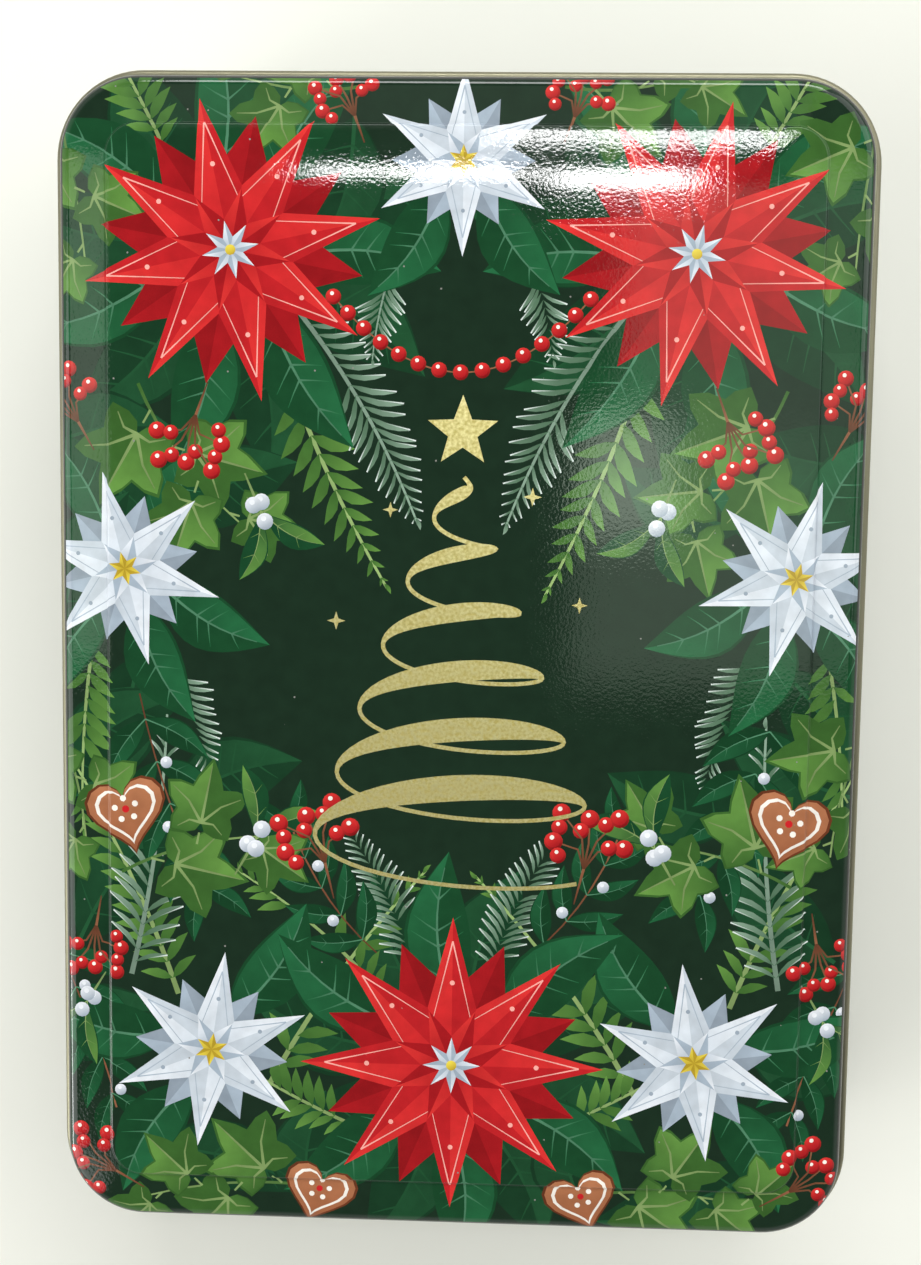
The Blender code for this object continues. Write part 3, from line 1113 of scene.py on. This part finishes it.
# %% Dust
dust, ends, out = node_group(
    "dust_specks", [("Scale", NUMBER, 170.0), ("Size", NUMBER, 0.035)], [("Mask", NUMBER)]
)
place = add(dust, "ShaderNodeTexCoord").outputs["Object"]
cells = add(dust, "ShaderNodeTexVoronoi", {"Vector": place, "Scale": ends.outputs["Scale"]})
links = {0: cells.outputs["Distance"], 1: ends.outputs["Size"]}
near = add(dust, "ShaderNodeMath", links, operation="LESS_THAN")
dust.links.new(near.outputs[0], out.inputs["Mask"])
print("dust group", len(dust.nodes), "nodes")

# %% [markdown]
# The rolling mill leaves fine streaks along the sheet. They are a noise that is stretched in
# one direction. A second, broad noise is put out as a mask for uneven lacquer.

# %% Grain of rolled sheet
grain, ends, out = node_group(
    "rolled_grain", [("Scale", NUMBER, 900.0)], [("Height", NUMBER), ("Mask", NUMBER)]
)
place = add(grain, "ShaderNodeTexCoord").outputs["Object"]
stretch = add(grain, "ShaderNodeMapping", {"Vector": place})
stretch.inputs["Scale"].default_value = (1.0, 0.04, 0.3)
links = {"Vector": stretch.outputs[0], "Scale": ends.outputs["Scale"]}
streaks = add(grain, "ShaderNodeTexNoise", links, Detail=3.0)
cloud = add(grain, "ShaderNodeTexNoise", {"Vector": place}, Scale=45.0, Detail=3.0)
grain.links.new(streaks.outputs["Fac"], out.inputs["Height"])
grain.links.new(cloud.outputs["Fac"], out.inputs["Mask"])
print("grain group", len(grain.nodes), "nodes")


# %% [markdown]
# ### Materials
#
# Groups put out only colours, masks and heights. Each material keeps a Principled shader of
# its own, with its constants on the shader's own sockets, because that is where an exporter
# looks for them. The helpers below make such a material and join the groups to it.

# %% Helpers for materials
def new_material(name, colour):
    """A material, its tree and its Principled shader."""
    made = bpy.data.materials.new(name)
    made.use_nodes = True
    made.diffuse_color = (*colour, 1.0)
    return made, made.node_tree, made.node_tree.nodes["Principled BSDF"]


def use(tree, group, links=(), **values):
    """Places a node group with its own values."""
    node = tree.nodes.new("ShaderNodeGroup")
    node.node_tree = group
    for name, value in values.items():
        node.inputs[name.replace("_", " ")].default_value = value
    for name, source in dict(links).items():
        tree.links.new(source, node.inputs[name])
    return node


def bumped(tree, shader, height, distance):
    """Bump from a height, straight into the shader."""
    bump = tree.nodes.new("ShaderNodeBump")
    bump.inputs["Distance"].default_value = distance
    tree.links.new(height, bump.inputs["Height"])
    tree.links.new(bump.outputs[0], shader.inputs["Normal"])


def two_tones(tree, value, low, high, first, last):
    """A colour that goes from one ink to another as a value rises from low to high."""
    node = add(tree, "ShaderNodeValToRGB", {0: value})
    for element, position, colour in zip(node.color_ramp.elements, (low, high), (first, last)):
        element.position = position
        element.color = (*colour, 1)
    return node.outputs[0]


def dusted(tree, colour):
    """A colour with pale specks of dust on it."""
    specks = use(tree, dust, Scale=150.0, Size=0.03)
    mix = add(tree, "ShaderNodeMix", {0: specks.outputs[0], 6: colour}, data_type="RGBA")
    mix.inputs[7].default_value = (0.24, 0.24, 0.22, 1)
    return mix.outputs[2]


print("material helpers are ready")

# %% [markdown]
# The picture's inks sit on the mesh as a colour attribute, so this material only reads them
# and adds what the press and the oven do: soft clouds, dust, and a hard gloss varnish whose
# ripple drives both the bump and the roughness.

# %% Varnished ink of the lid
RIPPLE_SCALE = 1500.0

printed_ink, tree, shader = new_material("printed_ink", GROUND)
colour = add(tree, "ShaderNodeAttribute", attribute_name="ink").outputs["Color"]
inked = use(tree, body, {"Color": colour}, Scale=260.0)
tree.links.new(dusted(tree, inked.outputs[0]), shader.inputs["Base Color"])
varnish = use(tree, ripple, Scale=RIPPLE_SCALE, Broad_Share=0.06).outputs[0]
tree.links.new(graded(tree, varnish, 0.3, 0.7, 0.03, 0.05), shader.inputs["Roughness"])
bumped(tree, shader, varnish, 0.000013)
print(printed_ink.name, len(tree.nodes), "nodes")

# %% [markdown]
# Foil is real metal, pressed on hot, and its surface is finely mottled where the glue shows
# through. It could be a yellow ink, but then it would lose its sheen in the reflections. So
# it is mostly metallic, and one noise drives its tone, roughness and bump together.

# %% Gold foil
gold_foil, tree, shader = new_material("gold_foil", ink("#d3c574"))
place = add(tree, "ShaderNodeTexCoord").outputs["Object"]
mottle = add(tree, "ShaderNodeTexNoise", {"Vector": place}, Scale=1400.0, Detail=3.0)
mottle = mottle.outputs["Fac"]
tones = two_tones(tree, mottle, 0.34, 0.66, ink("#bfb066"), ink("#e6dc9e"))
tree.links.new(tones, shader.inputs["Base Color"])
shader.inputs["Metallic"].default_value = 0.75
tree.links.new(graded(tree, mottle, 0.3, 0.7, 0.5, 0.3), shader.inputs["Roughness"])
bumped(tree, shader, mottle, 0.00003)
print(gold_foil.name, len(tree.nodes), "nodes")

# %% [markdown]
# The hem, the inside and the base carry no print. They are steel with a thin coat of tin and a
# warm clear lacquer, which gives the khaki line round the lid. A plain grey metal would look
# too cold, so the metal's own colour is warm, with the mill's grain in its bump.

# %% Bare tinplate under gold lacquer
tinplate, tree, shader = new_material("gold_lacquered_tinplate", ink("#a79c78"))
sheet_grain = use(tree, grain, Scale=900.0)
tones = two_tones(tree, sheet_grain.outputs["Mask"], 0.3, 0.7, ink("#7f7d68"), ink("#898670"))
tree.links.new(tones, shader.inputs["Base Color"])
shader.inputs["Metallic"].default_value = 0.9
streaks = sheet_grain.outputs["Height"]
tree.links.new(graded(tree, streaks, 0.3, 0.7, 0.34, 0.46), shader.inputs["Roughness"])
bumped(tree, shader, streaks, 0.000008)
print(tinplate.name, len(tree.nodes), "nodes")

# %% [markdown]
# The photograph doesn't show the wall. Such a wall is usually rolled with one flat colour
# before it is bent, so it has the green of the picture's ground. Its coat is a little rougher
# than the lid's, as on a side that carries no picture.

# %% Green lacquer of the wall
wall_lacquer, tree, shader = new_material("green_wall_lacquer", GROUND)
shader.inputs["Base Color"].default_value = (*GROUND, 1)
coat = use(tree, body, Scale=120.0)
coat.inputs["Color"].default_value = (*GROUND, 1)
tree.links.new(dusted(tree, coat.outputs[0]), shader.inputs["Base Color"])
varnish = use(tree, ripple, Scale=RIPPLE_SCALE, Broad_Share=0.2).outputs[0]
tree.links.new(graded(tree, varnish, 0.3, 0.7, 0.1, 0.18), shader.inputs["Roughness"])
bumped(tree, shader, varnish, 0.000012)
print(wall_lacquer.name, len(tree.nodes), "nodes")

# %% [markdown]
# ## The lid
#
# The lid is drawn from one sheet, so it is one mesh: the print, the rows round the hem and up
# the inside, and the under side. Print triangles carry their inks in a colour attribute, one
# colour for each corner of each face, which is what lets two inks meet in a sharp line. Each
# face also notes its material: ink, foil or bare tinplate.

# %% One mesh for the lid
def piece(name, places, faces, materials, indices):
    """A smooth mesh object with a material for each face."""
    mesh = bpy.data.meshes.new(name)
    mesh.from_pydata(np.asarray(places).tolist(), [], faces)
    for material in materials:
        mesh.materials.append(material)
    mesh.polygons.foreach_set("material_index", np.asarray(indices, dtype=np.int32))
    mesh.shade_smooth()
    made = bpy.data.objects.new(name, mesh)
    scene.collection.objects.link(made)
    return made


def band(inner, outer):
    """Quads between two closed rows of corners."""
    return np.stack([inner, outer, np.roll(outer, -1), np.roll(inner, -1)], axis=1).tolist()


around = len(rim)
row_index = [rim]
row_index += [len(corners) + around * k + np.arange(around) for k in range(len(rows))]
under_own = np.setdiff1d(np.arange(len(under_corners)), under_rim)
under_index = np.empty(len(under_corners), dtype=int)
under_index[under_own] = len(corners) + around * len(rows) + np.arange(len(under_own))
under_index[under_rim] = row_index[-1]
lid_faces = triangles.tolist()
INK, FOIL, METAL = range(3)
lid_indices = []
for i in showing:
    printed = FOIL if i >= 0 and shapes[i].foil else INK
    lid_indices.append(METAL if i == BARE else printed)
for inner_row, outer_row in zip(row_index, row_index[1:]):
    lid_faces += band(inner_row, outer_row)
    lid_indices += [METAL] * around
lid_faces += under_index[under_triangles[:, ::-1]].tolist()
lid_indices += [METAL] * len(under_triangles)
lid_places = np.concatenate([print_places] + bare_places + [under_places[under_own]])
lid_normals = np.concatenate([print_normals] + bare_normals + [under_normals[under_own]])
lid_finishes = [printed_ink, gold_foil, tinplate]
lid = piece("printed_lid", lid_places, lid_faces, lid_finishes, lid_indices)
print("lid has", len(lid.data.polygons), "faces")

# %% Inks on the corners
first = np.array([GROUND] + [shape.first for shape in shapes])
last = np.array([GROUND] + [shape.last for shape in shapes])
start = np.array([0j] + [shape.start for shape in shapes])
reach = np.array([1 + 0j] + [shape.end for shape in shapes]) - start
which = np.maximum(showing, -1) + 1
share = ((corners[triangles] - start[which][:, None]) * np.conj(reach[which])[:, None]).real
share = np.clip(share / (np.abs(reach[which]) ** 2)[:, None], 0, 1)[:, :, None]
inks = first[which][:, None, :] * (1 - share) + last[which][:, None, :] * share
inks = np.clip(inks, 0, 1).reshape(-1, 3)
all_inks = np.ones((len(lid.data.loops), 4), dtype=np.float32)
all_inks[:, :3] = GROUND
all_inks[: len(inks), :3] = inks
attribute = lid.data.color_attributes.new("ink", "FLOAT_COLOR", "CORNER")
attribute.data.foreach_set("color", all_inks.ravel())
print("inked corners", len(inks))

# %% [markdown]
# The facing that was looked up in the section now goes on as custom normals, so light runs
# evenly over the slender triangles. The lid then rides on its own body, since it lifts off,
# and takes the place of the CAD lid.

# %% Facing of the lid, and its body
lid.data.normals_split_custom_set_from_vertices(lid_normals.tolist())
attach(lid, "lid")
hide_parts("lid")
print("the lid replaces the CAD lid")

# %% [markdown]
# ## The wall and the base
#
# Both are sheets of one gauge, so each is its section thickened to two faces and swept round
# the outline. A sweep with the curve tools would twist at the corners and needs trimming,
# while rings of equal count simply join up. At the bottom the wall ends in a hook, and the
# base is folded twice round it: that is the double seam which makes the tin tight.

# %% Sections of the wall and the base
TURN_STEPS = 14
SHOULDER_STEPS = 12
SEAM_FOOT = 2 * LAYER + HALF_SHEET
SEAM_HEAD = SEAM_HEIGHT - LAYER - HALF_SHEET
BEAD_STEPS = 10
CHUCK_STEPS = 10
LOCK_ROOM = 0.0015
LOCK_EASE = 0.0001


def shoulder_height():
    """Where the wall starts to neck in."""
    return hem_height() - HEM_RADIUS - HALF_SHEET - HEM_GAP


def wall_section():
    """From the hook in the bottom seam up the wall and the neck to the rolled rim."""
    section = [(FACE + 2 * LAYER, SEAM_HEAD)]
    section += arc((FACE + LAYER, SEAM_FOOT), LAYER, 0, -180, TURN_STEPS)
    low, high = BASE_RECESS + LOCK_ROOM, shoulder_height() - LOCK_ROOM
    section += [(FACE, z) for z in (low - LOCK_EASE, low, high, high + LOCK_EASE)]
    for along in np.linspace(0, 1, SHOULDER_STEPS + 1):
        inward = (1 - math.cos(math.pi * along)) / 2
        height = shoulder_height() + SHOULDER_HEIGHT * along
        section.append((FACE + (NECK - FACE) * inward, height))
    reach = EDGE_RADIUS - HALF_SHEET - SEAT_GAP - RIM_RADIUS - HALF_SHEET
    aside = NECK + RIM_RADIUS - EDGE_CENTRE
    rim_height = edge_height() + math.sqrt(reach**2 - aside**2)
    section.append((NECK, rim_height - EASE))
    return section + arc(
        (NECK + RIM_RADIUS, rim_height), RIM_RADIUS, 180, 180 - HEM_TURN, HEM_STEPS
    )


def base_section():
    """From the recessed floor over its bead, down the chuck wall and round the wall's hook."""
    section = []
    for along in np.linspace(0, 1, BEAD_STEPS + 1):
        inset = BEAD_INSET + BEAD_WIDTH * (1 - along)
        section.append((-inset, BASE_RECESS + BEAD_RISE * math.sin(along * math.pi) ** 2))
    chuck = FACE - LAYER - CHUCK_RADIUS
    section.append((chuck - EASE, BASE_RECESS))
    section += arc((chuck, BASE_RECESS - CHUCK_RADIUS), CHUCK_RADIUS, 90, 0, CHUCK_STEPS)
    section += arc((FACE + LAYER, SEAM_FOOT), 2 * LAYER, 180, 360, 2 * TURN_STEPS)
    section.append((FACE + 3 * LAYER, SEAM_HEAD - EASE))
    section += arc((FACE + 2 * LAYER, SEAM_HEAD), LAYER, 0, 180, TURN_STEPS)
    return section + [(FACE + LAYER, SEAM_FOOT)]


print("wall", len(wall_section()), "points; base", len(base_section()), "points")


# %% Sweeping a sheet
def swept(section, capped, finish, relief=None):
    """A closed sheet swept round the outline; finish gives each row's material."""
    first_side, second_side, _ = faces_of(section)
    rows = list(first_side) + list(second_side[::-1])
    places = []
    for k, (outset, height) in enumerate(rows):
        plan = ring(outset)
        if relief is not None:
            plan = relief(plan, outset, k)
        places.append(np.stack([plan.real, plan.imag, np.full(len(plan), height)], axis=1))
    around = len(places[0])
    index = [around * k + np.arange(around) for k in range(len(rows))]
    faces, indices = [], []
    pairs = list(zip(index, index[1:]))
    if not capped:
        pairs.append((index[-1], index[0]))
    for k, (inner_row, outer_row) in enumerate(pairs):
        faces += band(inner_row, outer_row)
        indices += [finish(k)] * around
    if capped:
        faces += [index[0].tolist(), index[-1][::-1].tolist()]
        indices += [finish(0), finish(len(rows) - 1)]
    return np.concatenate(places), faces, indices


print("a swept ring has", 4 * (CORNER_STEPS + 1), "corners")

# %% [markdown]
# ### The wall
#
# The wall is a strip that is locked down the back. Inside, the lock is a flat rib of three
# layers, and outside only a narrow groove shows. A Boolean could cut them, but it would leave
# long slivers in the gloss. Instead each ring gets six more columns at the middle of its
# back, and these move in by the depth of the rib or the groove.

# %% The wall and its lock
LOCK_HALF = 0.0025
LOCK_GROOVE = 0.0004
GROOVE_DEPTH = 0.00012
LOCK_COLUMNS = (
    LOCK_HALF + LOCK_GROOVE + LOCK_EASE, LOCK_HALF + LOCK_GROOVE, LOCK_HALF + LOCK_EASE,
    LOCK_HALF, -LOCK_HALF, -LOCK_HALF - LOCK_EASE,
)
wall_rows = len(wall_section())
WALL_START = TURN_STEPS + 2
LOCK_ROWS = (WALL_START + 1, WALL_START + 2)
NECK_END = WALL_START + 4 + SHOULDER_STEPS


def with_lock(plan, outset, row):
    """Adds the columns of the lock seam at the middle of the back, and moves them in."""
    inside_face = row < wall_rows
    along = row if inside_face else 2 * wall_rows - 1 - row
    locked = along in LOCK_ROWS
    back = plan[CORNER_STEPS].imag
    columns = []
    for x in LOCK_COLUMNS:
        depth = 0.0
        if locked and inside_face and abs(x) <= LOCK_HALF:
            depth = 2 * SHEET
        if locked and not inside_face and LOCK_HALF < x < LOCK_HALF + LOCK_GROOVE + LOCK_EASE / 2:
            depth = GROOVE_DEPTH
        columns.append(complex(x, back - depth))
    return np.concatenate([plan[: CORNER_STEPS + 1], columns, plan[CORNER_STEPS + 1 :]])


def wall_finish(row):
    """Green lacquer outside, up to the neck; lacquered tinplate elsewhere."""
    return 0 if 2 * wall_rows - 1 - NECK_END <= row < 2 * wall_rows - 2 else 1


wall_places, wall_faces, wall_indices = swept(wall_section(), False, wall_finish, with_lock)
wall = piece("lacquered_wall", wall_places, wall_faces, [wall_lacquer, tinplate], wall_indices)
wall.data.set_sharp_from_angle(angle=math.radians(40))
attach(wall, "tin")
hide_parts("body_wall")
print("wall", len(wall.data.polygons), "faces")

# %% [markdown]
# ### The base
#
# The base is pressed with a recess and a raised bead, which stiffen the thin sheet, and its
# edge wraps the wall's hook. It is swept as the wall is, and its floor is one flat face on
# each side, because a flat needs no more.

# %% The base
base_places, base_faces, base_indices = swept(base_section(), True, lambda row: 0)
base = piece("seamed_base", base_places, base_faces, [tinplate], base_indices)
base.data.set_sharp_from_angle(angle=math.radians(40))
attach(base, "tin")
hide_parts("base_plate")
print("base", len(base.data.polygons), "faces")

# %% [markdown]
# ## Floor and light
#
# The tin was photographed on white paper under a ceiling lamp. Its varnish mirrors what is
# above: the lamp shows as a grainy bright bar on the crowned border, and a window as a soft
# patch at the right. So the small lamps are panels of real size at the places that these
# reflections give, all in one plane above the tin. A strip at the left gives the thin bright
# line on the rounded edge. Three large, soft panels light the tin and the floor. The sky is
# dim overhead and brighter low down, which keeps the dark ground dark.

# %% The floor
floor_mesh = bpy.data.meshes.new("floor")
floor_mesh.from_pydata([(-4, -4, 0), (4, -4, 0), (4, 4, 0), (-4, 4, 0)], [], [(0, 1, 2, 3)])
floor = bpy.data.objects.new("floor", floor_mesh)
scene.collection.objects.link(floor)
paper, tree, shader = new_material("white_paper", (0.8, 0.8, 0.76))
place = add(tree, "ShaderNodeTexCoord").outputs["Object"]
fibres = add(tree, "ShaderNodeTexNoise", {"Vector": place}, Scale=14.0, Detail=4.0)
tones = two_tones(tree, fibres.outputs["Fac"], 0, 1, (0.86, 0.86, 0.785), (0.90, 0.90, 0.825))
tree.links.new(tones, shader.inputs["Base Color"])
shader.inputs["Roughness"].default_value = 0.7
floor_mesh.materials.append(paper)
print("the floor is", round(floor.dimensions.x, 1), "m wide")


# %% Lamps
def panel(name, place, size, watts, aim=None, colour=(1, 1, 1)):
    """A rectangular lamp that faces a point, or straight down."""
    data = bpy.data.lights.new(name, "AREA")
    data.shape = "RECTANGLE"
    data.size, data.size_y = size
    data.energy = watts
    data.color = colour
    lamp = bpy.data.objects.new(name, data)
    lamp.location = place
    if aim:
        way = Vector(aim) - Vector(place)
        lamp.rotation_euler = way.to_track_quat("-Z", "Y").to_euler()
    scene.collection.objects.link(lamp)


LAMPLIGHT = (1, 1, 1)
DAYLIGHT = (0.85, 1.0, 0.83)
MIRRORED_HEIGHT = 1.06
TIN_MIDDLE = (0.0, 0.0, 0.06)

for name, place, size, watts, colour in (
    ("ceiling_lamp_left", (-0.08, 0.285), (0.17, 0.026), 0.5, LAMPLIGHT),
    ("ceiling_lamp_right", (0.073, 0.268), (0.11, 0.06), 0.7, LAMPLIGHT),
    ("ceiling_lamp_far", (0.09, 0.365), (0.215, 0.032), 0.65, LAMPLIGHT),
    ("ceiling_glow", (-0.05, 0.47), (0.6, 0.16), 0.12, DAYLIGHT),
    ("window_middle", (0.082, 0.02), (0.072, 0.09), 0.085, DAYLIGHT),
    ("window_low", (0.19, -0.04), (0.30, 0.20), 0.2, DAYLIGHT),
    ("window", (0.245, 0.0575), (0.345, 0.395), 0.36, DAYLIGHT),
    ("left_card", (-0.486, 0.07), (0.068, 0.41), 0.145, DAYLIGHT),
):
    panel(name, (*place, MIRRORED_HEIGHT), size, watts, colour=colour)
panel("left_softbox", (-1.3, -0.5, 1.0), (1.5, 1.5), 15.3, aim=TIN_MIDDLE)
panel("left_strip", (-1.2, -0.56, 0.42), (0.3, 0.16), 2.4, aim=TIN_MIDDLE)
panel("right_softbox", (1.2, 0.7, 1.2), (1.6, 1.6), 12.2, aim=TIN_MIDDLE)
panel("far_softbox", (0.1, 1.15, 0.9), (0.9, 0.4), 9.8, aim=(0.02, 0.2, 0))

world = bpy.data.worlds.new("sky")
scene.world = world
world.use_nodes = True
tree = world.node_tree
sky = tree.nodes["Background"]
up = add(tree, "ShaderNodeSeparateXYZ", {0: add(tree, "ShaderNodeTexCoord").outputs["Generated"]})
tree.links.new(graded(tree, up.outputs["Z"], 0.45, 0.8, 0.6, 0.07), sky.inputs["Strength"])
sky.inputs["Color"].default_value = (1.0, 1.0, 0.98, 1)
